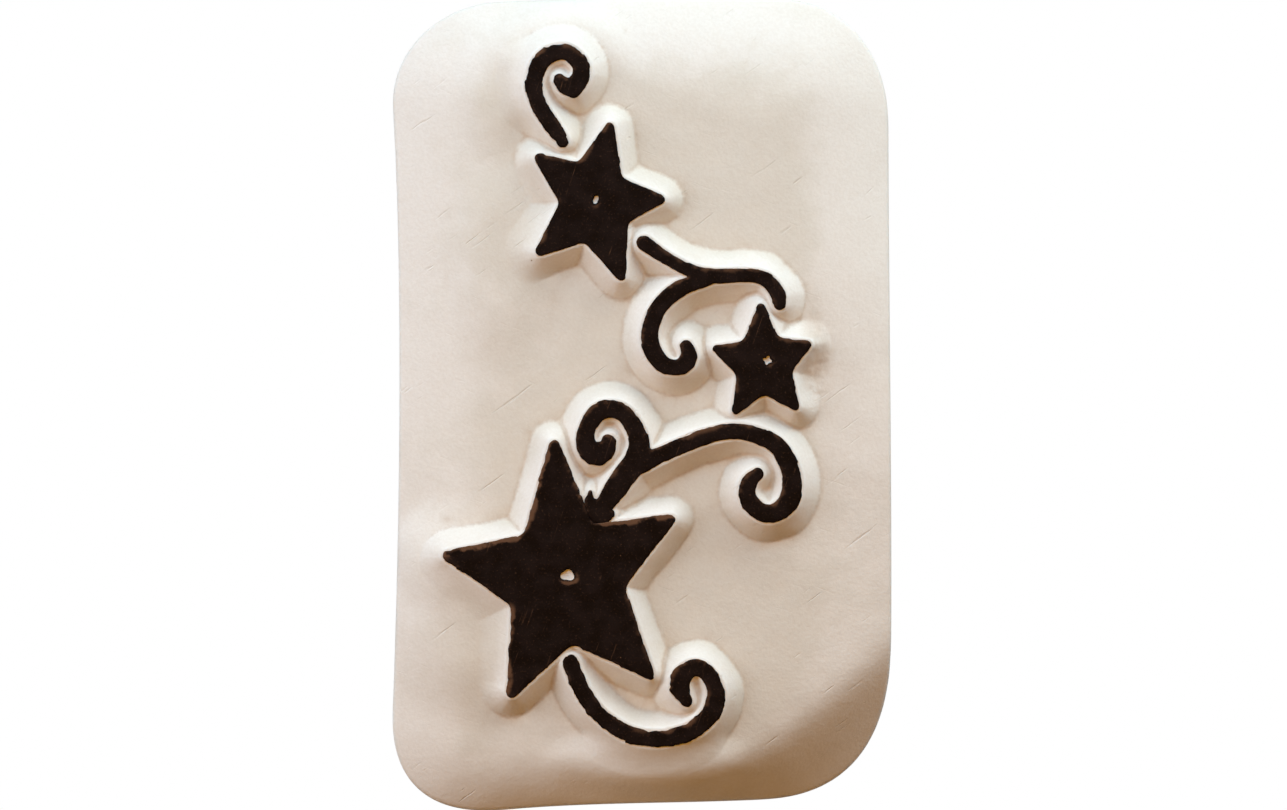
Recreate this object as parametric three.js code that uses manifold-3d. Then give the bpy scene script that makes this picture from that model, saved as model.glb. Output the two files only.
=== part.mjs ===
// A palm-held stamp: one moulded block of soft cream rubber, shaped like a small pillow, with a
// design of stars and curls engraved in relief on one side. The design's printing faces are seven
// separate islands of a thin dark skin, each on top of its own sloping shoulder of cream rubber.
//
// Units are millimetres. The stamp lies on its back: the back's flat is at z = 0, the printing
// faces look up (+Z), and the design's top is towards +Y. The origin is at the middle of the
// block's box, on the surface that it lies on.
import * as THREE from 'three';
import { LoftGeometry } from 'three/addons/geometries/LoftGeometry.js';
import { mergeVertices } from 'three/addons/utils/BufferGeometryUtils.js';
import Module from 'manifold-3d';

const wasm = await Module();
wasm.setup();

// Heights of the block, from the surface that it lies on.
const WIDEST_Z = 7;
const GROUND_Z = 14;
const SHOULDER_HEIGHT = 1.6;
const SKIN_THICKNESS = 0.4;
const PLATEAU_Z = GROUND_Z + SHOULDER_HEIGHT;
const TOP_Z = PLATEAU_Z + SKIN_THICKNESS;

// How far the rounded edges run in from the widest outline, on the long sides (x) and ends (y).
const FRONT_ROUND = { x: 3, y: 5 };
const BACK_ROUND = { x: 7, y: 9 };
const ROUND_STEPS = 6;
const OUTLINE_STEPS = 10;

// A shoulder leaves a narrow ledge around its printing face, then slopes down to the ground.
const LEDGE = 0.25;
const SLOPE_RUN = 1.9;
// The shoulders start this far below the ground, on the same slope, to be joined to the block.
const SHOULDER_ROOT = 0.5;
const ROOT_Z = GROUND_Z - SHOULDER_ROOT;
const ROOT_RUN = SLOPE_RUN + SHOULDER_ROOT * (SLOPE_RUN - LEDGE) / SHOULDER_HEIGHT;

const SHOULDER_STEP = 1.2;
const CIRCLE_STEPS = 12;
const FACE_STEP = 0.6;
const END_STEPS = 6;
const PIT_DEPTH = 0.5;

// The curls and vines are brush strokes: [x, y, half width] along the middle of each stroke.
const TOP_CURL = [
  [-7.75, 26.2, 0.62], [-8.5, 27.2, 0.75], [-10.2, 30, 0.82], [-10.7, 32, 0.85], [-9.7, 34.5, 0.88],
  [-7.3, 35.15, 0.82], [-5.75, 33.3, 0.8], [-6.9, 31.5, 0.95], [-7.7, 31.85, 0.8], [-8.15, 32.35, 0.6],
];
const BRANCH_VINE = [
  [0.3, 16.1, 0.8], [2, 14.9, 0.68], [5, 13.3, 0.65], [7, 12.8, 0.75], [9, 12.85, 0.7],
  [11, 12.85, 0.68], [12.5, 12.45, 0.72], [13.75, 10.7, 0.75], [13.8, 10, 0.68],
];
const BRANCH_CURL = [
  [7, 12.5, 0.55], [3.8, 11.5, 0.85], [1.5, 9.2, 0.85], [0.85, 6.3, 0.87], [2.2, 3.95, 0.85],
  [3.4, 3.6, 0.72], [4.4, 3.85, 0.78], [4.85, 4.7, 0.85], [4.5, 5.8, 0.68],
];
const FLOURISH_STEM = [
  [-3.95, -10.6, 0.75], [-3.4, -9.6, 0.95], [-2, -7.6, 1.15], [-0.5, -5.4, 1.1], [-0.15, -3.6, 0.98],
  [-1.6, -0.9, 0.85], [-2.9, -0.4, 0.85], [-4.3, -0.75, 0.9], [-5.6, -3.2, 0.85], [-5.3, -4.5, 1],
  [-4.4, -5.1, 1.05], [-3.5, -4.6, 0.95], [-3.2, -3.7, 0.8],
];
const FLOURISH_ARCH = [
  [0, -6, 0.9], [3, -4.55, 0.8], [7, -3.05, 0.8], [10.2, -2.7, 0.82], [13.5, -4.1, 0.85],
  [15.05, -7.2, 0.97], [14.7, -9.7, 1], [12.8, -11, 0.85], [11.4, -10.4, 0.9], [10.5, -9, 0.85],
  [10.7, -7.7, 0.8], [11.6, -6.9, 0.65],
];
const BOTTOM_CURL = [
  [-6.95, -25.8, 0.9], [-6.6, -27, 0.82], [-4.5, -30.5, 0.8], [-0.9, -32.95, 0.85], [3, -33.15, 0.85],
  [6.4, -31.5, 0.9], [7.5, -28.7, 0.92], [6.3, -26.4, 0.7], [5.2, -26.1, 0.75], [4.1, -26.9, 0.9],
  [3.8, -28.2, 0.98], [4.55, -29.6, 0.62],
];

// The stars are hand-drawn: five tips and the notches between them, counter-clockwise from the
// top tip, each notch following its tip. The hole is a small pit left in the middle of the star.
const UPPER_STAR = {
  tips: [[-3, 28.1], [-10.5, 24.8], [-10.4, 14.9], [-1.85, 12.3], [2.4, 20.4]],
  notches: [[-6.2, 24.05], [-8.1, 20.1], [-5.6, 16.15], [-1.3, 18.1], [-1.9, 22.6]],
  tipRadius: 0.5,
  hole: { x: -4.5, y: 20.4, rx: 0.3, ry: 0.4 },
};
const SMALL_STAR = {
  tips: [[11.9, 10.1], [7.15, 5.6], [9.2, -1], [15.6, -0.6], [17, 6.1]],
  notches: [[10.2, 6.3], [9.55, 2.9], [12.3, 1], [15, 3.3], [13.7, 6.65]],
  tipRadius: 0.42,
  hole: { x: 12.6, y: 4.4, rx: 0.4, ry: 0.4 },
};
const LARGE_STAR = {
  tips: [[-8.7, -3.5], [-19.8, -15], [-13.1, -29.2], [1.2, -27.3], [3.4, -11.2]],
  notches: [[-11.7, -13], [-12.9, -20], [-6.8, -23.9], [-1.6, -18.2], [-4.8, -11.9]],
  tipRadius: 0.55,
  hole: { x: -7.3, y: -17, rx: 0.7, ry: 0.55 },
};

const creamRubber = new THREE.MeshStandardMaterial({ color: 0xddd4c8, roughness: 0.62, metalness: 0 });
const darkSkin = new THREE.MeshStandardMaterial({ color: 0x1b1110, roughness: 0.5, metalness: 0 });

function toSolid(geometry) {
  const corners = new THREE.BufferGeometry();
  corners.setAttribute('position', geometry.attributes.position);
  corners.setIndex(geometry.index);
  const merged = mergeVertices(corners, 1e-5);
  return new wasm.Manifold(new wasm.Mesh({
    numProp: 3,
    vertProperties: new Float32Array(merged.attributes.position.array),
    triVerts: new Uint32Array(merged.index.array),
  }));
}

function toGeometry(solid) {
  const mesh = solid.getMesh();
  const geometry = new THREE.BufferGeometry();
  geometry.setAttribute('position', new THREE.BufferAttribute(mesh.vertProperties, 3));
  geometry.setIndex(new THREE.BufferAttribute(mesh.triVerts, 1));
  geometry.computeVertexNormals();
  return geometry;
}

function union(solids) {
  return solids.reduce((joined, solid) => joined.add(solid));
}

// The block's widest outline, counter-clockwise from low on the right side: a rounded oblong
// with a slight waist on its left, and a bottom edge that dips towards its lower left corner.
function blockOutline() {
  const shape = new THREE.Shape();
  shape.moveTo(24.95, -24);
  shape.bezierCurveTo(25.05, -8, 24.7, 12, 24.7, 28.5);
  shape.bezierCurveTo(24.6, 35.4, 20, 40.5, 13.9, 40.5);
  shape.bezierCurveTo(5, 40.5, -5, 40.5, -14.1, 40.2);
  shape.bezierCurveTo(-19, 40.1, -24.5, 36.4, -24.8, 30.5);
  shape.bezierCurveTo(-23.7, 14, -24, -12, -24.8, -31.5);
  shape.bezierCurveTo(-24.8, -37.3, -21.6, -41.1, -14.1, -40.5);
  shape.bezierCurveTo(-6, -39.7, 4, -39.8, 11.9, -39.5);
  shape.bezierCurveTo(19.4, -39.4, 24.9, -35.2, 24.95, -24);
  return shape.getPoints(OUTLINE_STEPS).slice(0, -1);
}

// The outline drawn in by a share (0 to 1) of a rounded edge's run, at one height.
function blockSection(outline, share, round, z) {
  return outline.map((point, i) => {
    const before = outline[(i + outline.length - 1) % outline.length];
    const after = outline[(i + 1) % outline.length];
    const along = after.clone().sub(before).normalize();
    return new THREE.Vector3(point.x - along.y * share * round.x, point.y + along.x * share * round.y, z);
  });
}

// Sections from the back's flat up to the widest outline and on to the ground of the design.
function blockBody(outline) {
  const sections = [];
  for (let i = 0; i < ROUND_STEPS; i += 1) {
    const angle = (Math.PI / 2) * (i / ROUND_STEPS);
    sections.push(blockSection(outline, 1 - Math.sin(angle), BACK_ROUND, WIDEST_Z * (1 - Math.cos(angle))));
  }
  for (let i = 0; i <= ROUND_STEPS; i += 1) {
    const angle = (Math.PI / 2) * (i / ROUND_STEPS);
    const z = WIDEST_Z + (GROUND_Z - WIDEST_Z) * Math.sin(angle);
    sections.push(blockSection(outline, 1 - Math.cos(angle), FRONT_ROUND, z));
  }
  return toSolid(new LoftGeometry(sections, { capStart: true, capEnd: true }));
}

// Points along a stroke, evenly spaced on one smooth curve; x and y are the place and z holds
// the half width.
function strokePoints(stroke, step) {
  const curve = new THREE.CatmullRomCurve3(stroke.map((point) => new THREE.Vector3(...point)));
  return curve.getSpacedPoints(Math.ceil(curve.getLength() / step));
}

// A stroke's outline: up its right side, around its end, and back down its left side.
function strokeShape(stroke) {
  const points = strokePoints(stroke, FACE_STEP);
  const headings = points.map((point, i) => {
    const before = points[Math.max(i - 1, 0)];
    const after = points[Math.min(i + 1, points.length - 1)];
    return Math.atan2(after.y - before.y, after.x - before.x);
  });
  const edge = (i, angle) => new THREE.Vector2(
    points[i].x + Math.cos(headings[i] + angle) * points[i].z,
    points[i].y + Math.sin(headings[i] + angle) * points[i].z,
  );
  const roundEnd = (i, start) => Array.from({ length: END_STEPS - 1 }, (_, step) => (
    edge(i, start + ((step + 1) / END_STEPS) * Math.PI)
  ));
  const last = points.length - 1;
  return new THREE.Shape([
    ...points.map((_, i) => edge(i, -Math.PI / 2)),
    ...roundEnd(last, -Math.PI / 2),
    ...points.map((_, i) => edge(i, Math.PI / 2)).reverse(),
    ...roundEnd(0, Math.PI / 2),
  ]);
}

// The outline around two discs, as far out as the extra beyond each disc's half width.
function linkSection(a, b, extra, z) {
  const section = [];
  const corner = (disc, angle) => new THREE.Vector3(
    disc.x + Math.cos(angle) * (disc.z + extra),
    disc.y + Math.sin(angle) * (disc.z + extra),
    z,
  );
  const further = (angle) => (
    (b.x - a.x) * Math.cos(angle) + (b.y - a.y) * Math.sin(angle) + b.z - a.z > 0 ? b : a
  );
  for (let i = 0; i < CIRCLE_STEPS; i += 1) {
    const angle = (i / CIRCLE_STEPS) * Math.PI * 2;
    const nextAngle = ((i + 1) / CIRCLE_STEPS) * Math.PI * 2;
    section.push(corner(further(angle), angle));
    if (further(angle) !== further(nextAngle)) {
      section.push(corner(further(nextAngle), angle));
    }
  }
  return section;
}

// A shoulder under a line of discs: each stretch between two discs is lofted from its root,
// below the ground, up to the plateau.
function shoulder(points) {
  const links = points.slice(1).map((point, i) => toSolid(new LoftGeometry([
    linkSection(points[i], point, ROOT_RUN, ROOT_Z),
    linkSection(points[i], point, LEDGE, PLATEAU_Z),
  ], { capStart: true, capEnd: true })));
  return union(links);
}

function upright(shape, z, depth) {
  const geometry = new THREE.ExtrudeGeometry(shape, { depth, bevelEnabled: false, curveSegments: 4 });
  return toSolid(geometry.translate(0, 0, z));
}

function strokesShoulder(strokes) {
  return union(strokes.map((stroke) => shoulder(strokePoints(stroke, SHOULDER_STEP))));
}

function strokesFace(strokes) {
  return union(strokes.map((stroke) => upright(strokeShape(stroke), PLATEAU_Z, SKIN_THICKNESS)));
}

// The middles of a star's round tips, drawn back from each tip along its arm.
function tipCentres(star) {
  const middle = new THREE.Vector2(star.hole.x, star.hole.y);
  return star.tips.map(([x, y]) => {
    const tip = new THREE.Vector2(x, y);
    return tip.add(middle.clone().sub(tip).setLength(star.tipRadius));
  });
}

function starShape(star) {
  const shape = new THREE.Shape();
  tipCentres(star).forEach((centre, i) => {
    const edgeAngle = (notch, side) => {
      const towards = centre.clone().sub(notch);
      return towards.angle() + side * (Math.asin(star.tipRadius / towards.length()) + Math.PI / 2);
    };
    const before = new THREE.Vector2(...star.notches[(i + 4) % 5]);
    const after = new THREE.Vector2(...star.notches[i]);
    shape.absarc(centre.x, centre.y, star.tipRadius, edgeAngle(before, -1), edgeAngle(after, 1), false);
    shape.lineTo(after.x, after.y);
  });
  return shape;
}

// A star's shoulder: a stroke around its outline from tip to notch to tip, filled in the middle.
function starShoulder(star) {
  const centres = tipCentres(star);
  const points = star.notches.flatMap(([x, y], i) => [
    new THREE.Vector3(centres[i].x, centres[i].y, star.tipRadius),
    new THREE.Vector3(x, y, 0),
  ]);
  points.push(points[0]);
  return shoulder(points).add(upright(starShape(star), ROOT_Z, PLATEAU_Z - ROOT_Z));
}

function starHole({ x, y, rx, ry }, z) {
  const hole = new THREE.CylinderGeometry(1, 1, TOP_Z + 1 - z, CIRCLE_STEPS);
  hole.rotateX(Math.PI / 2);
  hole.scale(rx, ry, 1);
  return toSolid(hole.translate(x, y, (TOP_Z + 1 + z) / 2));
}

function starFace(star) {
  return upright(starShape(star), PLATEAU_Z, SKIN_THICKNESS).subtract(starHole(star.hole, PLATEAU_Z - 1));
}

const vines = {
  top_curl_face: [TOP_CURL],
  branch_face: [BRANCH_VINE, BRANCH_CURL],
  flourish_face: [FLOURISH_STEM, FLOURISH_ARCH],
  bottom_curl_face: [BOTTOM_CURL],
};
const stars = {
  upper_star_face: UPPER_STAR,
  small_star_face: SMALL_STAR,
  large_star_face: LARGE_STAR,
};

function stampBlock(outline) {
  const shoulders = [
    ...Object.values(vines).map(strokesShoulder),
    ...Object.values(stars).map(starShoulder),
  ];
  const pits = Object.values(stars).map((star) => starHole(star.hole, PLATEAU_Z - PIT_DEPTH));
  return blockBody(outline).add(union(shoulders)).subtract(union(pits));
}

function mesh(name, solid, material) {
  const part = new THREE.Mesh(toGeometry(solid), material);
  part.name = name;
  return part;
}

const outline = blockOutline();
const stamp = new THREE.Group();
stamp.add(mesh('stamp_block', stampBlock(outline), creamRubber));
for (const [name, strokes] of Object.entries(vines)) {
  stamp.add(mesh(name, strokesFace(strokes), darkSkin));
}
for (const [name, star] of Object.entries(stars)) {
  stamp.add(mesh(name, starFace(star), darkSkin));
}

// The block's box is centred on the origin.
const middle = new THREE.Box2().setFromPoints(outline).getCenter(new THREE.Vector2());
stamp.position.set(-middle.x, -middle.y, 0);

export default stamp;
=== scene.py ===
# The looks of the palm-held rubber stamp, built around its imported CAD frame.
#
# The block and the seven dark printing faces are remade as fine meshes. Their outlines come from
# the CAD nodes. What is added here is the engraved relief with its crisp creases, the rolled edges,
# the ragged rims of the dark skin and the materials. Lengths are in millimetres until a mesh is
# made, in the CAD frame: +Z out of the printing side, +Y towards the design's top.
import math

import bpy
import numpy as np
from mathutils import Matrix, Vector
from mathutils.geometry import delaunay_2d_cdt


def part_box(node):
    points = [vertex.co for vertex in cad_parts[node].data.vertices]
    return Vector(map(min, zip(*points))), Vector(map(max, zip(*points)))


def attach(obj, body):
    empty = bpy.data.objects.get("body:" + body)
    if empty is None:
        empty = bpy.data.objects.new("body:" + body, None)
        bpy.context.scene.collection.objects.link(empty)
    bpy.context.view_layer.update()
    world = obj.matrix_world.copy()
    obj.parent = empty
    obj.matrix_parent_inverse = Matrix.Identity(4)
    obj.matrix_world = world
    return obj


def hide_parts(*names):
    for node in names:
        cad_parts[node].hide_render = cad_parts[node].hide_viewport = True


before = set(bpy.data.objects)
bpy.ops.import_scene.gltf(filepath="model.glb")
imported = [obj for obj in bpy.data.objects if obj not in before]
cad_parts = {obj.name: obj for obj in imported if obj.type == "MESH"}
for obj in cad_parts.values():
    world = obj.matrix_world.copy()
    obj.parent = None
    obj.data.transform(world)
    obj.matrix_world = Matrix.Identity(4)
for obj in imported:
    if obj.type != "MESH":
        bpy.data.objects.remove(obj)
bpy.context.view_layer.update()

MM = 0.001

FACE_NODES = [
    "top_curl_face", "upper_star_face", "branch_face", "small_star_face",
    "flourish_face", "large_star_face", "bottom_curl_face",
]


# ---------------------------------------------------------------- shapes read from the frame

# Two heights this close count as the same level (mm), and so do places that round to these decimals.
SAME_LEVEL = 0.01
SAME_PLACE = 3


def node_mesh(name):
    """The CAD node's corners in millimetres, and its triangles."""
    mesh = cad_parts[name].data
    points = np.empty(len(mesh.vertices) * 3)
    mesh.vertices.foreach_get("co", points)
    mesh.calc_loop_triangles()
    triangles = np.empty(len(mesh.loop_triangles) * 3, dtype=int)
    mesh.loop_triangles.foreach_get("vertices", triangles)
    return points.reshape(-1, 3) / MM, triangles.reshape(-1, 3)


def boundary_loops(corners, triangles):
    """The closed loops around a patch of triangles, with the patch on their left."""
    edges = set()
    for a, b, c in triangles:
        for edge in ((a, b), (b, c), (c, a)):
            if edge[::-1] in edges:
                edges.remove(edge[::-1])
            else:
                edges.add(edge)
    follow = dict(edges)
    loops = []
    while follow:
        start, step = follow.popitem()
        loop = [start]
        while step != start:
            loop.append(step)
            step = follow.pop(step)
        loops.append(np.array([corners[i] for i in loop]))
    return sorted(loops, key=loop_area, reverse=True)


def loop_area(loop):
    """The area inside a closed loop, negative for a loop that runs clockwise, as a hole does."""
    after = np.roll(loop, -1, axis=0)
    return 0.5 * np.sum(loop[:, 0] * after[:, 1] - after[:, 0] * loop[:, 1])


def top_loops(name):
    """A printing face's outline, then its holes, from the CAD node's flat top."""
    points, triangles = node_mesh(name)
    top = points[:, 2].max()
    ids = {}
    same = [ids.setdefault((round(x, SAME_PLACE), round(y, SAME_PLACE)), len(ids)) for x, y, _ in points]
    flat = triangles[points[triangles, 2].min(axis=1) > top - SAME_LEVEL]
    return boundary_loops(list(ids), [[same[i] for i in corners] for corners in flat])


def widest_outline():
    """The block's outline at its widest level, counter-clockwise."""
    points, _ = node_mesh("stamp_block")
    level = points[np.abs(points[:, 2] - WIDEST_Z) < SAME_LEVEL, :2]
    ring = np.unique(np.round(level, SAME_PLACE), axis=0)
    return ring[np.argsort(np.arctan2(ring[:, 1], ring[:, 0]))]


# ---------------------------------------------------------------- outlines

# The triangulation takes points nearer than this for one point (mm).
CDT_EPSILON = 1e-6
# A resampled outline has at least this many points.
FEWEST_POINTS = 12


def resample(loop, spacing):
    """The closed loop again, as points an even distance apart."""
    closed = np.vstack([loop, loop[:1]])
    along = np.concatenate([[0], np.cumsum(np.hypot(*np.diff(closed, axis=0).T))])
    count = max(int(round(along[-1] / spacing)), FEWEST_POINTS)
    places = np.arange(count) * along[-1] / count
    return np.column_stack([np.interp(places, along, closed[:, axis]) for axis in (0, 1)])


def spread(values, reach):
    """Values around a closed loop, each averaged with its neighbours (reach in points)."""
    span = np.arange(-int(3 * reach), int(3 * reach) + 1)
    weights = np.exp(-0.5 * (span / reach) ** 2)
    weights /= weights.sum()
    return sum(weight * np.roll(values, -step, axis=0) for weight, step in zip(weights, span))


def outward(loop):
    """Unit directions away from the material, which lies on the loop's left."""
    along = np.roll(loop, -1, axis=0) - np.roll(loop, 1, axis=0)
    along /= np.linalg.norm(along, axis=1)[:, None]
    return np.column_stack([along[:, 1], -along[:, 0]])


def inside(points, loop):
    """Which points lie inside a closed loop."""
    x, y = points[:, 0:1], points[:, 1:2]
    a, b = loop, np.roll(loop, -1, axis=0)
    crosses = (a[:, 1] > y) != (b[:, 1] > y)
    with np.errstate(divide="ignore", invalid="ignore"):
        at = a[:, 0] + (y - a[:, 1]) * (b[:, 0] - a[:, 0]) / (b[:, 1] - a[:, 1])
    return (crosses & (x < at)).sum(axis=1) % 2 == 1


def ring_edges(loops):
    """The edges around closed loops of point indices."""
    return [(int(loop[i - 1]), int(loop[i])) for loop in loops for i in range(len(loop))]


def combine(first, second, rule):
    """The outline of what a rule keeps of two crossing outlines, each one given as points."""
    points = [Vector(p) for p in np.vstack([first, second])]
    loops = np.arange(len(first)), np.arange(len(first), len(points))
    corners, _, faces, _, _, _ = delaunay_2d_cdt(points, ring_edges(loops), [], 0, CDT_EPSILON)
    corners = np.array([tuple(corner) for corner in corners])
    faces = np.array([list(face) for face in faces])
    middles = corners[faces].mean(axis=1)
    kept = rule(inside(middles, first), inside(middles, second))
    return boundary_loops(corners, faces[kept].tolist())[0]


def in_chunks(work, points, size=4000):
    """A calculation on many points, done a part at a time to save memory."""
    parts = [work(points[start:start + size]) for start in range(0, len(points), size)]
    return np.concatenate(parts) if parts else np.empty(0)


def distance(points, loop):
    """The distance from each point to the nearest stretch of a closed loop."""
    run = np.roll(loop, -1, axis=0) - loop
    length = (run ** 2).sum(axis=1)

    def nearest(some):
        away = some[:, None] - loop
        share = np.clip((away * run).sum(axis=2) / length, 0, 1)
        return np.sqrt(((away - share[..., None] * run) ** 2).sum(axis=2).min(axis=1))

    return in_chunks(nearest, points)


def signed_distance(points, loop):
    """As distance, but negative inside the loop."""
    sign = in_chunks(lambda some: np.where(inside(some, loop), -1.0, 1.0), points)
    return sign * distance(points, loop)


# The shortest and longest wave in a noise, as shares of its wavelength.
WAVE_SPREAD = (0.7, 1.6)


def wave_noise(points, wavelength, seed, waves=24):
    """Smooth noise of about -1 to 1: a seeded sum of plane waves near one wavelength."""
    rng = np.random.default_rng(seed)
    angles = rng.uniform(0, 2 * math.pi, waves)
    lengths = wavelength * rng.uniform(*WAVE_SPREAD, waves)
    phases = rng.uniform(0, 2 * math.pi, waves)
    steps = 2 * math.pi / lengths * np.vstack([np.cos(angles), np.sin(angles)])
    return np.cos(points[:, :2] @ steps + phases).sum(axis=1) / math.sqrt(waves)


def unevenness(points, parts):
    """The sum of some noises, each one given as its height, wavelength and seed."""
    return sum(height * wave_noise(points, wavelength, seed) for height, wavelength, seed in parts)


def quarter_turn(steps):
    """The angles of a quarter turn in even steps, without the first one at 0."""
    return np.radians(np.linspace(0, 90, steps + 1))[1:]


# ---------------------------------------------------------------- meshes

def triangulate(points, loops):
    """Delaunay triangles over all points, inside the closed loops given as lists of indices."""
    spots = [Vector(p) for p in points]
    _, _, faces, sources, _, _ = delaunay_2d_cdt(spots, ring_edges(loops), [], 0, CDT_EPSILON)
    triangles = np.array([[sources[i][0] for i in face] for face in faces])
    on_loop = np.zeros(len(points), dtype=bool)
    on_loop[[i for loop in loops for i in loop]] = True
    doubtful = on_loop[triangles].all(axis=1)
    middles = points[triangles[doubtful]].mean(axis=1)
    crossings = np.zeros(len(middles), dtype=int)
    for loop in loops:
        crossings += in_chunks(lambda some: inside(some, points[loop]), middles).astype(int)
    keep = np.ones(len(triangles), dtype=bool)
    keep[np.flatnonzero(doubtful)[crossings % 2 == 0]] = False
    return triangles[keep]


def grid(low, high, spacing, seed, jitter=0.18):
    """Points in staggered rows over a rectangle, each nudged a little."""
    rng = np.random.default_rng(seed)
    rows = np.arange(low[1], high[1], spacing * math.sqrt(3) / 2)
    columns = np.arange(low[0], high[0], spacing)
    x, y = np.meshgrid(columns, rows)
    x = x + (np.arange(len(rows)) % 2)[:, None] * spacing / 2
    points = np.column_stack([x.ravel(), y.ravel()])
    return points + rng.uniform(-jitter, jitter, points.shape) * spacing


def make_piece(name, points, triangles, quads, attributes):
    """A smooth-shaded mesh object from points in millimetres, with named values per point."""
    mesh = bpy.data.meshes.new(name)
    faces = [tuple(map(int, face)) for face in triangles] + [tuple(map(int, face)) for face in quads]
    mesh.from_pydata([tuple(p) for p in points * MM], [], faces)
    for title, values in attributes.items():
        mesh.attributes.new(title, "FLOAT", "POINT").data.foreach_set("value", values.astype(np.float32))
    mesh.polygons.foreach_set("use_smooth", [True] * len(mesh.polygons))
    mesh.validate()
    piece = bpy.data.objects.new(name, mesh)
    bpy.context.scene.collection.objects.link(piece)
    return piece


def cap(points, rings, loose=()):
    """Triangles over the points on some closed rings and the loose ones between, all as indices."""
    used = np.concatenate([*rings, np.array(loose, dtype=int)])
    starts = np.cumsum([0, *map(len, rings)])
    loops = [range(start, end) for start, end in zip(starts, starts[1:])]
    return used[triangulate(points[used, :2], loops)]


def bridge(lower, upper):
    """Quads between two rings of point indices, facing away from the material on their left."""
    after = np.roll(lower, -1), np.roll(upper, -1)
    return np.column_stack([lower, after[0], after[1], upper])


# ---------------------------------------------------------------- the printing faces

# Levels (mm): the shoulders' top in the CAD, the skin's top, the block's widest level, and the ground
# of the design.
PLATEAU_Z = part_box("stamp_block")[1][2] / MM
TOP_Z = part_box("large_star_face")[1][2] / MM
WIDEST_Z = 7.0
GROUND_Z = 14.0

# The spacing of the points along a printing face's outline (mm).
OUTLINE_SPACING = 0.11
# How ragged each face's rim is (mm), and how long its nibbles are (mm).
RIMS = {
    "top_curl_face": (0.15, 0.9),
    "upper_star_face": (0.06, 0.9),
    "branch_face": (0.065, 0.8),
    "small_star_face": (0.08, 0.7),
    "flourish_face": (0.09, 1.0),
    "large_star_face": (0.11, 1.1),
    "bottom_curl_face": (0.15, 1.0),
}
# Single chips out of a rim, or lumps on it where the depth is negative: place, depth and half its
# width (mm).
CHIPS = {
    "top_curl_face": [
        ((-8.1, 35.8), 0.2, 0.22), ((-10.4, 30.9), 0.12, 0.3), ((-6.8, 31.0), -0.35, 0.5),
    ],
    "large_star_face": [
        ((-1.7, -26.0), 0.16, 0.2), ((-0.7, -26.4), 0.14, 0.18), ((-2.6, -25.4), 0.1, 0.25),
        ((-11.3, -12.9), 0.1, 0.3),
    ],
    "bottom_curl_face": [
        ((0.7, -32.3), 0.16, 0.3), ((5.2, -25.8), 0.15, 0.3), ((-3.4, -29.6), 0.12, 0.3),
    ],
}
# The dark fill where the flourish's stem runs into the large star's notch, and how far it laps over
# the star (mm).
STEM_FOOT = [
    (-5.75, -9.5), (-5.4, -8.95), (-5.3, -8.5), (-5.0, -8.45), (-4.85, -8.9), (-4.7, -9.5),
    (-3.9, -10.4), (-3.2, -10.62), (-3.0, -10.5), (-2.72, -10.6), (-2.7, -11.0), (-2.9, -11.4),
    (-4.3, -12.2), (-5.4, -12.0),
]
FOOT_OVERLAP = 0.05
# How each pin hole departs from round: its lobes, how far they reach out (share of its radius)
# and the direction of the first one (degrees).
HOLE_LOBES = {
    "upper_star_face": (2, 0.22, 60),
    "small_star_face": (4, 0.24, 75),
    "large_star_face": (3, 0.13, 80),
}
# Blunt tips of the large star: the middle and radius of each (mm).
BLUNT_TIPS = [((-13.0, -28.45), 0.6), ((-19.3, -14.92), 0.4), ((-18.8, -14.95), 0.52)]
# The rims' brown band leans to this side, which faces the light, as a painted highlight; it is wear
# by this much on no side in particular, and at least so much.
HIGHLIGHT_SIDE = np.array([-0.5, 0.866])
EVEN_WEAR = 0.35
LEAST_WEAR = 0.15
# One face has its rim's wear and painted highlight in full, and the others by this share.
FULL_RIM_BAND_FACE = "large_star_face"
LESSER_RIM_BAND = 0.45
# A rim bends inwards where it turns this much per point spacing. It is rounded there (points), and
# loses this share of its raggedness.
HOLLOW_BEND = 0.1
HOLLOW_REACH = 5
HOLLOW_CALM = 0.65
# A rim's nibbles reach from this far in to this far out (share of its depth), and its fine part is
# this share of them.
NIBBLE_RANGE = (-1, 0.8)
FINE_SHARE = 0.35
FEWEST_NIBBLES = 6
# How far values are averaged along a rim (points): its bends, its calm and its finest detail.
BEND_REACH = 5
CALM_REACH = 6
DETAIL_REACH = 1.2
# How many points make the circle of a blunt tip.
TIP_POINTS = 40
# The skin's rounded edge, from the block up: how far in (mm) and how far below the top (mm).
SKIN_EDGE = [(0.0, 0.47), (0.0, 0.13), (0.02, 0.06), (0.06, 0.02), (0.12, 0.0)]
# The points on the flat top: their spacing, and how far inside the rim they stay (mm).
FLAT_SPACING = 0.33
FLAT_INSET = 0.25
# The flat top's unevenness: its height and wavelength (mm).
FLAT_WAVE = 0.012
FLAT_WAVELENGTH = 2.5
# The step over which the rim's direction is felt from the flat, and the farthest edge value (mm).
FEELER = 0.1
EDGE_LIMIT = 2.0


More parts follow.
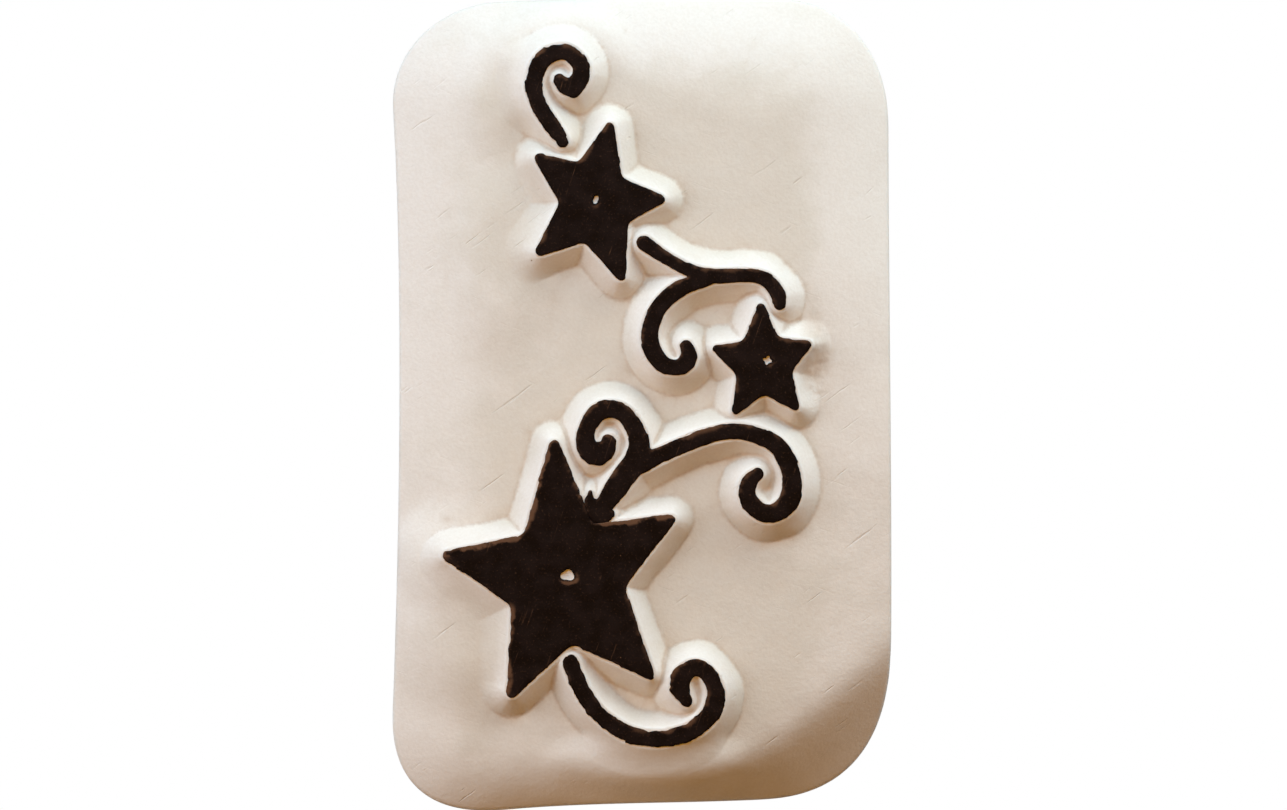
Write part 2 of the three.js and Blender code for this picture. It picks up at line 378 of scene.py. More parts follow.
def ragged(loop, depth, nibble, chips, seed):
    """Nibbles an outline: small facets on its outer bends, round inner bends, and single chips."""
    rng = np.random.default_rng(seed)
    count = len(loop)
    bends = np.cross(np.roll(loop, -1, axis=0) - loop, loop - np.roll(loop, 1, axis=0))
    hollow = np.clip(spread(bends, BEND_REACH) / OUTLINE_SPACING ** 2 / HOLLOW_BEND, 0, 1)
    loop = loop + (spread(loop, HOLLOW_REACH) - loop) * hollow[:, None]
    knots = max(int(count * OUTLINE_SPACING / nibble), FEWEST_NIBBLES)
    knots = np.sort(rng.uniform(0, count, knots))
    heights = rng.uniform(*NIBBLE_RANGE, len(knots))
    facets = np.interp(np.arange(count), knots, heights, period=count)
    fine = spread(rng.normal(0, 1, count), DETAIL_REACH)
    move = depth * spread(1 - HOLLOW_CALM * hollow, CALM_REACH) * (facets + FINE_SHARE * fine)
    for place, chip_depth, half_width in chips:
        reach = np.linalg.norm(loop - place, axis=1) / half_width
        move -= chip_depth * np.exp(-reach ** 2)
    return loop + outward(loop) * move[:, None]


def joined(first, second):
    """The outline of two overlapping shapes together."""
    return resample(combine(first, second, lambda one, other: one | other), OUTLINE_SPACING)


def circle(middle, radius):
    """Points around a circle, counter-clockwise."""
    turn = np.linspace(0, 2 * math.pi, TIP_POINTS, endpoint=False)
    return middle + radius * np.column_stack([np.cos(turn), np.sin(turn)])


def stem_foot():
    """The dark fill at the flourish's foot, cut where it laps over the large star."""
    star = resample(top_loops("large_star_face")[0], OUTLINE_SPACING)
    foot = resample(np.array(STEM_FOOT)[::-1], OUTLINE_SPACING)
    return combine(foot, star - outward(star) * FOOT_OVERLAP, lambda one, other: one & ~other)


def lobed(hole, lobes, reach, direction):
    """A round pin hole drawn out into a few lobes."""
    spokes = hole - hole.mean(axis=0)
    turn = np.arctan2(spokes[:, 1], spokes[:, 0]) - math.radians(direction)
    return hole + spokes * reach * np.cos(lobes * turn)[:, None]


def skin_loops(name):
    """The smooth outlines of one printing face and its holes."""
    outer, *pin_holes = [resample(loop, OUTLINE_SPACING) for loop in top_loops(name)]
    if name == "large_star_face":
        for place, radius in BLUNT_TIPS:
            outer = joined(outer, circle(place, radius))
    if name == "flourish_face":
        outer = joined(outer, stem_foot())
    pin_holes = [lobed(spread(hole, DETAIL_REACH), *HOLE_LOBES[name]) for hole in pin_holes]
    return [spread(outer, DETAIL_REACH), *pin_holes]


def depth_under(points, loops):
    """How far inside an outline, and outside its holes, each point lies (mm)."""
    depths = -signed_distance(points, loops[0])
    for hole in loops[1:]:
        depths = np.minimum(depths, signed_distance(points, hole))
    return depths


def skin_rim(loops):
    """A printing face's rounded edge.

    Gives its points, how far in each one is and how much it faces the light for the painted highlight,
    then the quads between them, and the lowest and the highest ring of each loop.
    """
    points, edge, facing, quads, bottoms, tops = [], [], [], [], [], []
    count = 0
    for loop in loops:
        sideways = outward(loop)
        is_hole = loop is not loops[0]
        rings = []
        for inset, below in SKIN_EDGE:
            points.append(np.column_stack([loop - sideways * inset, np.full(len(loop), TOP_Z - below)]))
            edge.append(np.full(len(loop), inset))
            facing.append(sideways @ HIGHLIGHT_SIDE - is_hole)
            rings.append(np.arange(count, count + len(loop)))
            count += len(loop)
        quads += [bridge(lower, upper) for lower, upper in zip(rings, rings[1:])]
        bottoms.append(rings[0])
        tops.append(rings[-1])
    values = np.concatenate(edge), np.concatenate(facing)
    return np.vstack(points), values, np.vstack(quads), bottoms, tops


def skin_face(name, loops, seed):
    """One island of dark skin: a rim with a rounded edge around a nearly flat top."""
    loops = [ragged(loops[0], *RIMS[name], CHIPS.get(name, []), seed), *loops[1:]]
    rim, (edge, facing), quads, bottoms, tops = skin_rim(loops)
    spots = grid(rim[:, :2].min(axis=0), rim[:, :2].max(axis=0), FLAT_SPACING, seed)
    depths = depth_under(spots, loops)
    spots, depths = spots[depths > FLAT_INSET], depths[depths > FLAT_INSET]
    slope = (depths - depth_under(spots + HIGHLIGHT_SIDE * FEELER, loops)) / FEELER
    heights = TOP_Z + FLAT_WAVE * wave_noise(spots, FLAT_WAVELENGTH, seed) - FLAT_WAVE
    points = np.vstack([rim, np.column_stack([spots, heights])])
    top = cap(points, tops, np.arange(len(rim), len(points)))
    bottom = cap(points, bottoms)[:, ::-1]
    # The rim band's value: wear on every side, and a painted highlight on the side facing the light.
    wear_and_highlight = np.clip(EVEN_WEAR + (1 - EVEN_WEAR) * np.concatenate([facing, slope]), LEAST_WEAR, 1)
    values = {
        "edge": np.minimum(np.concatenate([edge, depths]), EDGE_LIMIT),
        "wear_and_highlight": wear_and_highlight * (1 if name == FULL_RIM_BAND_FACE else LESSER_RIM_BAND),
    }
    return make_piece(name.replace("_face", "_skin"), points, np.vstack([top, bottom]), quads, values)


# ---------------------------------------------------------------- the block

# The ledge around each printing face, and the run of the shoulder's slope beyond it (mm).
LEDGE = 0.16
SLOPE_RUN = 1.74
# The shoulders lap this far up the skin's sides (mm).
LAP = 0.18
SHOULDER = PLATEAU_Z - GROUND_Z + LAP
# How much a shoulder's run varies (share of it), as height, wavelength (mm) and seed.
RUN_VARIETY = [(0.04, 4, 5)]
# The spacing of the block's points over the relief, over plain ground, on the back and along the
# shoulders' creases, and of the printing faces' outlines that the relief follows (mm).
FINE_SPACING = 0.17
COARSE_SPACING = 0.7
BACK_SPACING = 2.0
CREASE_SPACING = 0.13
ISLAND_SPACING = 0.25
# The random seeds of the fine points, the coarse ones and the back's.
FINE_SEED = 11
COARSE_SEED = 12
BACK_SEED = 13
# How far the fine points reach past the relief, and how far the coarse ones keep from it (mm).
FINE_MARGIN = 0.35
COARSE_GAP = 0.6
# How far points keep from the crease lines, the front's rounded rim and the back's rolled edge (mm).
CREASE_GAP = 0.07
RIM_GAP = 0.15
BACK_GAP = 0.6
# A crease point counts only if it is this near to its true distance from the printing faces (mm).
CREASE_SLACK = 0.02
# The fine points also cover this circle around each pin hole (mm). The rubber dips in the hole by
# this much (mm), from this far out (share of the hole's radius).
HOLE_PATCH = 1.3
HOLE_DIP = 0.15
HOLE_FADE = 1.25
# The front's small rounded rim: how far in and how far down it goes (mm).
RIM_RUN = 0.35
RIM_DROP = 0.3
# The back's rolled edge: how far in it goes, across and along the block (mm).
BACK_RUN = np.array([7.0, 9.0])
# The steps that make the rounded rim, the side wall and the rolled edge.
RIM_STEPS = 7
WALL_STEPS = 4
BACK_STEPS = 12
# The front never falls further than this (mm).
FALL_LIMIT = 9.0
# The front starts to fall this far inside a shoulder's foot, and falls in full after this run (mm).
FALL_START = 0.3
FALL_EASE = 4.0
# The unevenness of the front, of the back and of the scuffed patch: height (mm), wavelength (mm)
# and seed of each part.
FRONT_WAVES = [(0.05, 17, 3), (0.016, 5, 4)]
BACK_WAVES = [(0.03, 12, 6)]
SCUFF_WAVES = [(0.025, 1.3, 8), (0.012, 0.5, 9)]
# The scuff's roughness starts at a printing face's rim and is full this far out (mm).
SCUFF_EASE = 0.5
# The farthest values that the materials read (mm).
FAR = 6.5
INLAND_LIMIT = 15
# Painted shade in the hollows starts this far in from the block's edge, and is full after this run (mm).
HOLLOW_SHADE_START = 1.5
HOLLOW_SHADE_EASE = 2.0
# The rounds of averaging with the neighbours that give a point's surroundings.
HOLLOW_ROUNDS = 12

# The front is a shallow pillow. By direction from the block's middle, in degrees counter-clockwise
# from the right side with the length drawn in to the width: how far in from the edge the surface
# starts to fall (mm), and how far it has fallen at the edge (mm).
PILLOW = [
    (0, 5.0, 0.0), (20, 8.0, 1.4), (45, 14.0, 3.9), (90, 9.0, 2.6), (135, 10.0, 2.7), (180, 12.0, 1.8),
    (225, 8.0, 1.4), (245, 5.5, 2.8), (270, 5.0, 2.6), (290, 5.5, 2.6), (305, 6.0, 1.2), (330, 5.0, 0.3),
]
# The table is eased from direction to direction over this many degrees.
PILLOW_EASE = 8
# The lower right corner is bevelled beyond a line: two places on it, its slope and its softness (mm).
BEVEL_LINE = np.array([(7.8, -38.0), (25.4, -24.8)])
BEVEL_SLOPE = 0.97
BEVEL_SOFTNESS = 0.9
# The shoulder beside the small star is scuffed: the middle of the patch and its half size (mm).
SCUFF_PLACE = np.array(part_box("small_star_face")[1][:2]) / MM + (0.3, -5.4)
SCUFF_SIZE = np.array([1.5, 4.2])
# A soft shoulder runs out this share further and sags; a scuffed one is shorter and sags too.
SOFT_RUN = 0.7
SOFT_SAG = 0.7
SCUFF_CUT = 0.3
SCUFF_SAG = 0.6
# A patch ends at this share of its half size.
PATCH_END = 1.5
# Where the shoulders run out softly into raised ground: the middle of each patch, its half size and
# how far the ground is raised (mm).
SOFT_PATCHES = [
    ((0.5, -35.4), (7.5, 2.6), 0.7), ((-17.5, -21.5), (6.0, 7.5), 0.8), ((-14.0, 14.5), (4.2, 8.0), 0.5),
    ((-14.6, 32.0), (3.0, 6.0), 0.5),
]


def pillow(points, column):
    """One column of the pillow table at each point, eased from direction to direction."""
    half = outline.max(axis=0)
    turn = np.degrees(np.arctan2(points[:, 1] / half[1], points[:, 0] / half[0])) % 360
    around = np.arange(360)
    angles = [row[0] for row in PILLOW]
    values = [row[column] for row in PILLOW]
    table = spread(np.interp(around, angles, values, period=360), PILLOW_EASE)
    return np.interp(turn, around, table, period=360)


def ease(share):
    """A smooth start and stop between 0 and 1."""
    share = np.clip(share, 0, 1)
    return share * share * (3 - 2 * share)


def patch(points, place, size):
    """A soft-edged oval patch: 1 within half of its size, fading to 0 at one and a half times."""
    return ease(PATCH_END - np.linalg.norm((points[:, :2] - place) / size, axis=1))


def scuff(points):
    """How scuffed the front is, from 0 to 1."""
    return patch(points, SCUFF_PLACE, SCUFF_SIZE)


def bevel(points):
    """How far the bevel lowers each point (mm), growing smoothly from its line."""
    along = BEVEL_LINE[1] - BEVEL_LINE[0]
    across = np.array([along[1], -along[0]]) / np.linalg.norm(along)
    beyond = (points[:, :2] - BEVEL_LINE[0]) @ across
    return BEVEL_SLOPE * BEVEL_SOFTNESS * np.logaddexp(0, beyond / BEVEL_SOFTNESS)


def front_height(points, from_edge, away):
    """The block's front without its relief, level near the design and falling to its edges."""
    fallen = np.clip(1 - from_edge / pillow(points, 1), 0, 1) ** 2
    near = ease((away - LEDGE - SLOPE_RUN + FALL_START) / FALL_EASE)
    rim = np.sqrt(1 - np.clip(1 - from_edge / RIM_RUN, 0, 1) ** 2)
    fall = FALL_LIMIT * np.tanh((pillow(points, 2) * fallen + bevel(points)) * near / FALL_LIMIT)
    return GROUND_Z - fall + unevenness(points, FRONT_WAVES) - RIM_DROP * (1 - rim)


def softness(points):
    """How softly the shoulders run out into the ground, from 0 to 1."""
    patches = [patch(points, place, size) for place, size, _ in SOFT_PATCHES]
    return np.max([scuff(points), *patches], axis=0)


def shoulder_run(points):
    """How far from a printing face its shoulder can reach, soft or not (mm)."""
    return LEDGE + SLOPE_RUN * (1 + SOFT_RUN * softness(points))


def relief_height(points, away):
    """The shoulders: a ledge around each printing face, then a slope to the ground."""
    scuffed = scuff(points)
    soft = softness(points)
    run = SLOPE_RUN * (1 + unevenness(points, RUN_VARIETY) + SOFT_RUN * soft - SCUFF_CUT * scuffed)
    share = np.clip(1 - (away - LEDGE) / run, 0, 1) ** (1 + SOFT_SAG * soft + SCUFF_SAG * scuffed)
    lift = sum(raised * patch(points, place, size) for place, size, raised in SOFT_PATCHES)
    rough = scuffed * unevenness(points, SCUFF_WAVES) * ease(away / SCUFF_EASE)
    return lift + (SHOULDER - lift) * share + rough


def skin_distance(points, islands):
    """The distance to the nearest printing face, negative under one, and at most FAR."""
    result = np.full(len(points), FAR)
    for loop in islands:
        near = ((points > loop.min(axis=0) - FAR) & (points < loop.max(axis=0) + FAR)).all(axis=1)
        result[near] = np.minimum(result[near], signed_distance(points[near], loop))
    return result


def crease_points(islands, away):
    """Points along the line a set distance from the printing faces."""
    line = np.vstack([resample(loop + outward(loop) * away, CREASE_SPACING) for loop in islands])
    return line[np.abs(skin_distance(line, islands) - away) < CREASE_SLACK]


def inner_points(islands, holes):
    """Fine points over the relief and coarse points over the plain ground."""
    low, high = outline.min(axis=0), outline.max(axis=0)
    creases = (LEDGE, LEDGE + SLOPE_RUN)
    fine = grid(low, high, FINE_SPACING, FINE_SEED)
    away = skin_distance(fine, islands)
    wanted = (away > -FINE_MARGIN) & (away < shoulder_run(fine) + FINE_MARGIN)
    for crease in creases:
        wanted &= np.abs(away - crease) > CREASE_GAP
    wanted |= (scuff(fine) > 0) & (away > -FINE_MARGIN)
    for hole in holes:
        wanted |= np.linalg.norm(fine - hole.mean(axis=0), axis=1) < HOLE_PATCH
    coarse = grid(low, high, COARSE_SPACING, COARSE_SEED)
    away = skin_distance(coarse, islands)
    beyond = (away > shoulder_run(coarse) + COARSE_GAP) & (scuff(coarse) == 0)
    lines = [crease_points(islands, crease) for crease in creases]
    points = np.vstack([fine[wanted], coarse[(away < -COARSE_GAP) | beyond], *lines])
    return points[-signed_distance(points, outline) > RIM_RUN + RIM_GAP]


def hollows(points, triangles):
    """How far each point lies below the average of its surroundings (mm)."""
    edges = np.vstack([triangles[:, [0, 1]], triangles[:, [1, 2]], triangles[:, [2, 0]]])
    height = points[:, 2]
    count = np.bincount(edges[:, 0], minlength=len(points))
    around = height
    for _ in range(HOLLOW_ROUNDS):
        sums = np.bincount(edges[:, 0], weights=around[edges[:, 1]], minlength=len(points))
        around = np.where(count > 0, (around + sums) / (count + 1), height)
    return around - height


def front_surface(islands, holes):
    """The front's points (the outline's first), its triangles, and the points' way to the skin."""
    sideways = outward(outline)
    rim = [outline - sideways * RIM_RUN * (1 - math.cos(level)) for level in quarter_turn(RIM_STEPS)]
    xy = np.vstack([outline, *rim, inner_points(islands, holes)])
    triangles = triangulate(xy, [list(range(len(outline)))])
    from_edge = distance(xy, outline)
    away = skin_distance(xy, islands)
    z = front_height(xy, from_edge, away) + relief_height(xy, away)
    for hole in holes:
        size = np.linalg.norm(hole - hole.mean(axis=0), axis=1).mean()
        reach = np.linalg.norm(xy - hole.mean(axis=0), axis=1) / size
        z -= HOLE_DIP * np.clip(HOLE_FADE - reach, 0, 1)
    return np.column_stack([xy, z]), triangles, away


def side_rings(edge_heights):
    """Rings of points from the front's edge down the side wall and round the back's rolled edge."""
    rings = []
    for share in np.arange(1, WALL_STEPS + 1) / WALL_STEPS:
        rings.append(np.column_stack([outline, edge_heights * (1 - share) + WIDEST_Z * share]))
    for level in quarter_turn(BACK_STEPS):
        ring = outline - outward(outline) * BACK_RUN * (1 - math.cos(level))
        rings.append(np.column_stack([ring, np.full(len(ring), WIDEST_Z * (1 - math.sin(level)))]))
    return rings


def back_points(edge):
    """Points over the flat of the back, inside its edge."""
    points = grid(outline.min(axis=0), outline.max(axis=0), BACK_SPACING, BACK_SEED)
    points = points[-signed_distance(points, edge) > BACK_GAP]
    return np.column_stack([points, np.abs(unevenness(points, BACK_WAVES))])


def block_values(front, triangles, away, others):
    """What the rubber's material reads at the front's points and, plainly, at all the others."""
    inland = np.minimum(distance(front[:, :2], outline), INLAND_LIMIT)
    # The hollows' depth, kept off the edge band and the soft patches, sets the cream's painted shade.
    clear = ease((inland - HOLLOW_SHADE_START) / HOLLOW_SHADE_EASE) * (1 - softness(front))
    plain = np.zeros(others)
    return {
        "away": np.append(away, plain + FAR),
        "hollow": np.append(hollows(front, triangles) * clear, plain),
        "inland": np.append(inland, plain),
        "scuffed": np.append(scuff(front), plain),
    }


def block_piece(islands, holes):
    """The whole rubber block: its front, its side wall and its back."""
    front, triangles, away = front_surface(islands, holes)
    size = len(outline)
    below = side_rings(front[:size, 2])
    back = back_points(below[-1][:, :2])
    points = np.vstack([front, *below, back])
    rings = [np.arange(size), *[len(front) + i * size + np.arange(size) for i in range(len(below))]]
    quads = np.vstack([bridge(lower, upper) for upper, lower in zip(rings, rings[1:])])
    under = cap(points, [rings[-1]], np.arange(len(points) - len(back), len(points)))[:, ::-1]
    values = block_values(front, triangles, away, len(points) - len(front))
    return make_piece("rubber_block", points, np.vstack([triangles, under]), quads, values)


# ---------------------------------------------------------------- materials

# Colours are linear. Texture scales are in cycles per millimetre, and bump heights in millimetres.
PALE_CREAM = (0.875, 0.845, 0.80, 1)
WARM_CREAM = (0.775, 0.735, 0.665, 1)
# A pale cream painted around each printing face's edge: a painted highlight.
RIM_HIGHLIGHT_CREAM = (0.88, 0.88, 0.87, 1)
# Brown for dust on the scuffed patch and in the grain, and for painted shade in the hollows.
DUST_AND_HOLLOW_SHADE = (0.50, 0.37, 0.26, 1)
SPECK = (0.30, 0.20, 0.13, 1)
DEEP_SKIN = (0.0050, 0.0023, 0.0021, 1)
SOFT_SKIN = (0.0135, 0.0072, 0.0058, 1)
# The brown of the skin's rim, which is wear and painted highlight, and of its flecks and specks.
WORN_AND_HIGHLIT_SKIN = (0.15, 0.075, 0.042, 1)


def new_material(name):
    """A material that uses nodes, and its node tree."""
    material = bpy.data.materials.new(name)
    material.use_nodes = True
    return material, material.node_tree


def add(tree, kind, **settings):
    """A shader node with its properties set, and its inputs set or linked, by name."""
    node = tree.nodes.new(kind)
    for key, value in settings.items():
        if key not in node.inputs:
            setattr(node, key, value)
        elif isinstance(value, bpy.types.NodeSocket):
            tree.links.new(value, node.inputs[key])
        else:
            node.inputs[key].default_value = value
    return node


def surface(tree, turn=0.0, stretch=(1.0, 1.0)):
    """The object's own coordinates in millimetres, turned and stretched for one texture."""
    place = add(tree, "ShaderNodeTexCoord").outputs["Object"]
    scale = (stretch[0] / MM, stretch[1] / MM, 1 / MM)
    spot = add(tree, "ShaderNodeMapping", Vector=place, Rotation=(0, 0, turn))
    sized = add(tree, "ShaderNodeVectorMath", operation="MULTIPLY")
    tree.links.new(spot.outputs["Vector"], sized.inputs[0])
    sized.inputs[1].default_value = scale
    return sized.outputs["Vector"]


def noise(tree, space, scale, detail=3.0):
    """A noise of about 0.2 to 0.8, with its scale in cycles per millimetre."""
    return add(tree, "ShaderNodeTexNoise", Vector=space, Scale=scale, Detail=detail).outputs["Fac"]


def attribute(tree, name):
    """The mesh's own value under a name."""
    return add(tree, "ShaderNodeAttribute", attribute_name=name).outputs["Fac"]


def remap(tree, value, low, high, at_low=0.0, at_high=1.0):
    """The value between low and high, eased to run from at_low to at_high."""
    settings = {"Value": value, "From Min": low, "From Max": high, "To Min": at_low, "To Max": at_high}
    return add(tree, "ShaderNodeMapRange", interpolation_type="SMOOTHSTEP", **settings).outputs["Result"]


def calculate(tree, operation, first, second):
    """A sum or product of two values, each a number or a socket."""
    node = add(tree, "ShaderNodeMath", operation=operation)
    for socket, value in zip(node.inputs, (first, second)):
        if isinstance(value, bpy.types.NodeSocket):
            tree.links.new(value, socket)
        else:
            socket.default_value = value
    return node.outputs[0]


def product(tree, *values):
    """The product of two or more values."""
    result = values[0]
    for value in values[1:]:
        result = calculate(tree, "MULTIPLY", result, value)
    return result


def total(tree, *values):
    """The sum of two or more values."""
    result = values[0]
    for value in values[1:]:
        result = calculate(tree, "ADD", result, value)
    return result


def tint(tree, share, first, second):
    """The first colour, turned into the second one by a share."""
    return add(tree, "ShaderNodeMixRGB", Fac=share, Color1=first, Color2=second).outputs["Color"]


def specks(tree, space, scale, radius, rarity):
    """Small round specks in a few of a pattern's random cells (radius in millimetres)."""
    cells = add(tree, "ShaderNodeTexVoronoi", Vector=space, Scale=scale)
    chosen = add(tree, "ShaderNodeSeparateColor", Color=cells.outputs["Color"]).outputs["Red"]
    size = remap(tree, cells.outputs["Distance"], radius * scale * 0.4, radius * scale, 1, 0)
    return product(tree, size, remap(tree, chosen, rarity, rarity + 0.02))


def scratches(tree, turn, shift):
    """Fine scratches along one direction: stretched noise cut to thin lines, in broken stretches.

    The shift of their scales tells one set of scratches from another.
    """
    lines = noise(tree, surface(tree, turn, (0.16, 2.6)), 1.0 + shift, 2.0)
    broken = noise(tree, surface(tree, turn), 0.22 + shift, 2.0)
    return product(tree, remap(tree, lines, 0.64, 0.74), remap(tree, broken, 0.5, 0.62))


def drive_shader(tree, colour, roughness, height, specular):
    """Gives the shader its colour, roughness, fine relief (millimetres) and specular level."""
    shader = tree.nodes["Principled BSDF"]
    bump = add(tree, "ShaderNodeBump", Strength=1.0, Distance=MM, Height=height)
    tree.links.new(colour, shader.inputs["Base Color"])
    tree.links.new(roughness, shader.inputs["Roughness"])
    tree.links.new(bump.outputs["Normal"], shader.inputs["Normal"])
    shader.inputs["Specular IOR Level"].default_value = specular


def cream_warmth(tree, space, patches, away):
    """Where the cream is warm: inland, away from the printing faces, and in soft clouds."""
    clouds = noise(tree, space, 0.07)
    inland = remap(tree, attribute(tree, "inland"), 1.0, 13.0, 0.0, 1.0)
    inland = product(tree, inland, remap(tree, away, 0.3, 2.3, 0.2, 1.0))
    warmth = total(tree, inland, remap(tree, clouds, 0.3, 0.7, -0.35, 0.35))
    warmth = total(tree, warmth, remap(tree, patches, 0.3, 0.7, -0.12, 0.12))
    return remap(tree, warmth, 0.0, 1.0)


def cream_dust_and_hollow_shade(tree, patches, mottle, grain):
    """Painted shade in the hollows, and dust on the scuffed patch and in the grain."""
    # Painted shade: the deeper a hollow, the browner the cream.
    hollow_shade = remap(tree, attribute(tree, "hollow"), 0.02, 0.16, 0.0, 0.5)
    hollow_shade = product(tree, hollow_shade, remap(tree, mottle, 0.3, 0.7, 0.55, 1.0))
    smudge = product(tree, attribute(tree, "scuffed"), remap(tree, patches, 0.4, 0.62, 0.05, 0.42))
    flecked = remap(tree, grain, 0.30, 0.72, 0.085, 0.0)
    return total(tree, hollow_shade, smudge, flecked)


def cream_rubber():
    """Cast cream rubber: clouded and finely grained, with painted shade in its hollows and a few specks.
    """
    material, tree = new_material("cream_rubber")
    space = surface(tree)
    patches = noise(tree, space, 0.45, 4.0)
    mottle = noise(tree, space, 1.3, 3.0)
    grain = noise(tree, space, 3.4, 2.0)
    away = attribute(tree, "away")
    colour = tint(tree, cream_warmth(tree, space, patches, away), PALE_CREAM, WARM_CREAM)
    colour = tint(tree, cream_dust_and_hollow_shade(tree, patches, mottle, grain), colour, DUST_AND_HOLLOW_SHADE)
    # Painted highlight: a pale line on the cream right around each printing face.
    colour = tint(tree, remap(tree, away, 0.2, 0.5, 0.5, 0.0), colour, RIM_HIGHLIGHT_CREAM)
    colour = tint(tree, specks(tree, space, 0.28, 0.11, 0.8), colour, SPECK)
    height = total(
        tree,
        product(tree, grain, 0.022),
        product(tree, mottle, 0.03),
        product(tree, patches, 0.05),
        product(tree, scratches(tree, -0.65, 0.0), -0.035),
        product(tree, scratches(tree, 0.35, 0.3), -0.009),
    )
    roughness = remap(tree, patches, 0.3, 0.7, 0.5, 0.68)
    drive_shader(tree, colour, roughness, height, specular=0.3)
    return material


def worn_and_highlit_rim(tree, patches):
    """The rim's brown band, of uneven width: wear all round and a painted highlight towards the light.
    """
    inset = product(tree, attribute(tree, "edge"), remap(tree, patches, 0.4, 0.6, 1.3, 0.75))
    rim = remap(tree, inset, 0.06, 0.62, 1.0, 0.0)
    rim = product(tree, rim, attribute(tree, "wear_and_highlight"), remap(tree, patches, 0.40, 0.58, 0.3, 1.0))
    return remap(tree, rim, 0.06, 0.6, 0.0, 0.85)


def dark_skin():
    """Ink-dark rubber skin: faintly clouded and scratched; its brown rim is wear and painted highlight.
    """
    material, tree = new_material("dark_skin")
    space = surface(tree)
    patches = noise(tree, space, 0.5, 5.0)
    grain = noise(tree, space, 4.5, 3.0)
    lines = scratches(tree, 1.9, 0.2)
    flecks = remap(tree, grain, 0.56, 0.76, 0.0, 0.2)
    # Painted highlight and wear on the rim, with flecks and scratches, all turn the skin brown.
    rim_wear_and_highlight = total(tree, worn_and_highlit_rim(tree, patches), flecks, product(tree, lines, 0.4))
    colour = tint(tree, remap(tree, patches, 0.35, 0.68), DEEP_SKIN, SOFT_SKIN)
    colour = tint(tree, rim_wear_and_highlight, colour, WORN_AND_HIGHLIT_SKIN)
    colour = tint(tree, specks(tree, space, 0.5, 0.08, 0.88), colour, WORN_AND_HIGHLIT_SKIN)
    height = total(
        tree,
        product(tree, grain, 0.03),
        product(tree, patches, 0.04),
        product(tree, lines, -0.012),
    )
    roughness = remap(tree, patches, 0.3, 0.7, 0.48, 0.66)
    drive_shader(tree, colour, roughness, height, specular=0.055)
    return material


# ---------------------------------------------------------------- the stamp

# The spacing of the points round the block's edge (mm), and how far they are averaged (points).
EDGE_SPACING = 0.5
EDGE_REACH = 1.5
# The first printing face's random seed, and the step to the next one's.
FIRST_SEED = 100
SEED_STEP = 10

outline = spread(resample(widest_outline(), EDGE_SPACING), EDGE_REACH)

island_loops = {name: skin_loops(name) for name in FACE_NODES}
seeds = {name: FIRST_SEED + SEED_STEP * i for i, name in enumerate(FACE_NODES)}
skins = {name: skin_face(name, island_loops[name], seeds[name]) for name in FACE_NODES}
islands = [resample(loops[0], ISLAND_SPACING) for loops in island_loops.values()]
holes = [hole for loops in island_loops.values() for hole in loops[1:]]
block = block_piece(islands, holes)

cream = cream_rubber()
dark = dark_skin()
block.data.materials.append(cream)
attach(block, "root")
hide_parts("stamp_block")
for name, skin in skins.items():
    skin.data.materials.append(dark)
    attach(skin, "root")
    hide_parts(name)


# ---------------------------------------------------------------- floor, light and camera

WHITE = (1, 1, 1, 1)
# The world's colour as the camera sees it, and its light.
BACKDROP = (0.94, 0.94, 0.94, 1)
WORLD_LIGHT = (0.003, 0.002, 0.002, 1)
# The floor's half side (metres), the gap that it leaves under the stamp, and its colour in the
# stamp's own light.
FLOOR_SIDE = 4.0
FLOOR_GAP = 0.0001
FLOOR_GREY = (0.25, 0.25, 0.25, 1)
# Each light's place, size (metres) and power in red, green and blue.
LIGHTS = {
    "high": ((-0.02, 0.22, 0.26), 0.16, (0.17, 0.42, 0.61)),
    "north": ((0.02, 0.32, 0.10), 0.16, (0.275, 0.275, 0.26)),
    "west": ((-0.30, 0.05, 0.13), 0.2, (0.52, 0.53, 0.555)),
    "northeast": ((0.20, 0.24, 0.10), 0.16, (0.33, 0.335, 0.30)),
    "east": ((0.29, 0.12, 0.04), 0.12, (0.20, 0.245, 0.28)),
    "top": ((0.0, 0.03, 0.38), 0.3, (0.68, 0.305, 0.035)),
}
STAMP_MIDDLE = Vector((0, 0, 0.01))
UP = Vector((0, 0, 1))
# A weak card of light lies on the floor before the stamp and shines upwards, past the lower side wall:
# its place, size and power.
CARD = ((0.0, -0.109, 0.0005), 0.14, (0.025, 0.019, 0.014))


def seen_and_lit(tree, seen, lit, output):
    """Sends one shader to the camera's own view and another to everything that it lights."""
    path = add(tree, "ShaderNodeLightPath")
    mix = add(tree, "ShaderNodeMixShader", Fac=path.outputs["Is Camera Ray"])
    tree.links.new(lit.outputs[0], mix.inputs[1])
    tree.links.new(seen.outputs[0], mix.inputs[2])
    tree.links.new(mix.outputs[0], output.inputs["Surface"])


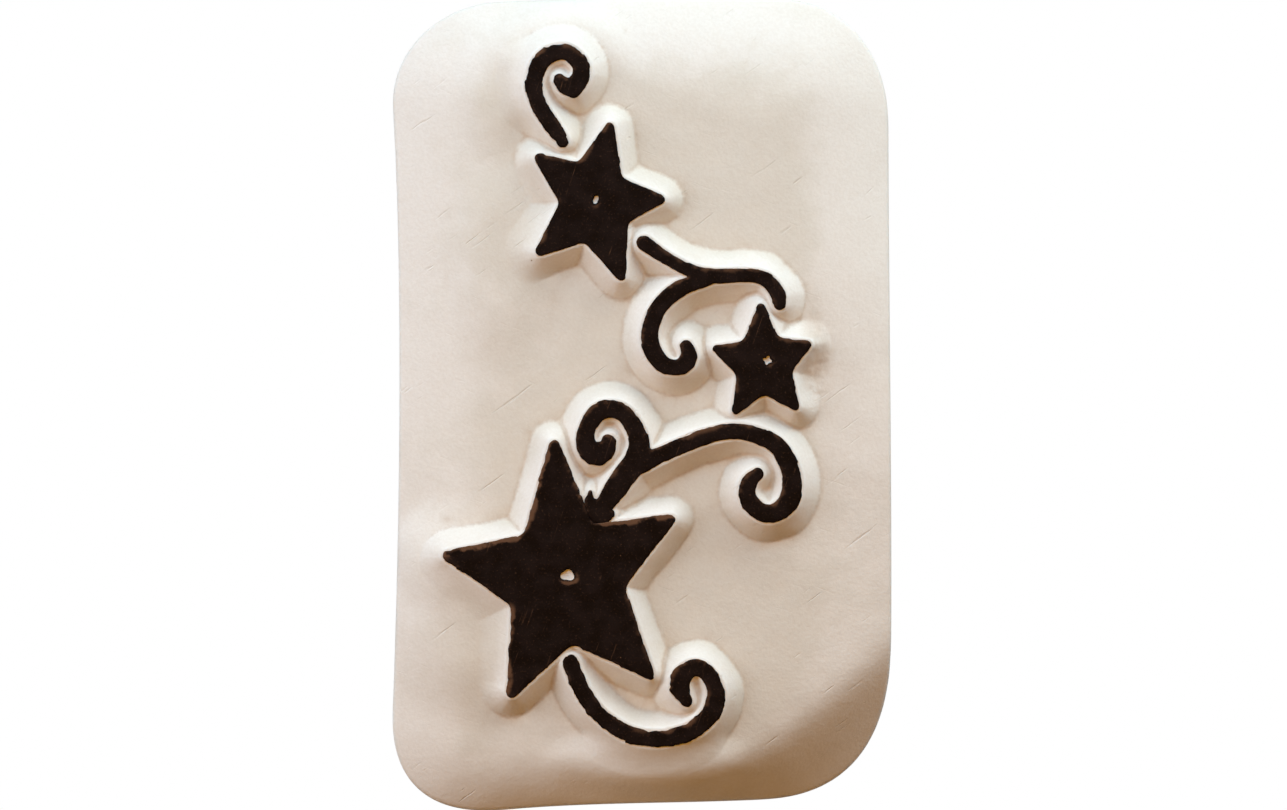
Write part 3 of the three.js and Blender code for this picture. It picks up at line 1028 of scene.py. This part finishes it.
def make_floor():
    """A floor that the camera sees as plain white, and that throws a little light back."""
    mesh = bpy.data.meshes.new("floor")
    side = FLOOR_SIDE
    corners = [(-side, -side, 0), (side, -side, 0), (side, side, 0), (-side, side, 0)]
    mesh.from_pydata(corners, [], [(0, 1, 2, 3)])
    floor = bpy.data.objects.new("floor", mesh)
    bpy.context.scene.collection.objects.link(floor)
    floor.location.z = -FLOOR_GAP
    material, tree = new_material("floor_white")
    grey = tree.nodes["Principled BSDF"]
    grey.inputs["Base Color"].default_value = FLOOR_GREY
    white = add(tree, "ShaderNodeEmission", Color=WHITE, Strength=1.0)
    seen_and_lit(tree, white, grey, tree.nodes["Material Output"])
    mesh.materials.append(material)


def area_light(name, place, size, power, target=STAMP_MIDDLE):
    """A square soft light aimed at its target (place, size and target in metres)."""
    data = bpy.data.lights.new(name, "AREA")
    data.shape = "SQUARE"
    data.size = size
    data.energy = max(power)
    data.color = [channel / max(power) for channel in power]
    lamp = bpy.data.objects.new(name, data)
    lamp.location = place
    lamp.rotation_euler = (target - Vector(place)).to_track_quat("-Z", "Y").to_euler()
    lamp.visible_camera = False
    bpy.context.scene.collection.objects.link(lamp)


def make_world():
    """A pale backdrop that gives next to no light."""
    world = bpy.data.worlds.new("studio")
    world.use_nodes = True
    tree = world.node_tree
    shade = tree.nodes["Background"]
    shade.inputs["Color"].default_value = WORLD_LIGHT
    seen = add(tree, "ShaderNodeBackground", Color=BACKDROP)
    seen_and_lit(tree, seen, shade, tree.nodes["World Output"])
    bpy.context.scene.world = world


# The picture's middle in the CAD frame (metres), its size (pixels) and its height (metres).
CAMERA_X = 0.00017
CAMERA_Y = -0.00003
PICTURE = (1287, 810)
VIEW_HEIGHT = 0.0810
# The lens and the film's width (mm), and how far the camera sees (metres).
LENS = 600
FILM_WIDTH = 36
SIGHT = 20


def make_camera():
    """Straight above the stamp, framed so that the block's length fills the picture's height."""
    data = bpy.data.cameras.new("camera")
    data.lens = LENS
    data.sensor_width = FILM_WIDTH
    data.clip_end = SIGHT
    camera = bpy.data.objects.new("camera", data)
    film_height = FILM_WIDTH * PICTURE[1] / PICTURE[0]
    camera.location = (CAMERA_X, CAMERA_Y, WIDEST_Z * MM + LENS * VIEW_HEIGHT / film_height)
    bpy.context.scene.collection.objects.link(camera)
    bpy.context.scene.camera = camera


make_floor()
make_world()
make_camera()
for name, (place, size, power) in LIGHTS.items():
    area_light(name, place, size, power)
area_light("card", *CARD, target=Vector(CARD[0]) + UP)
bpy.context.scene.view_settings.view_transform = "Standard"
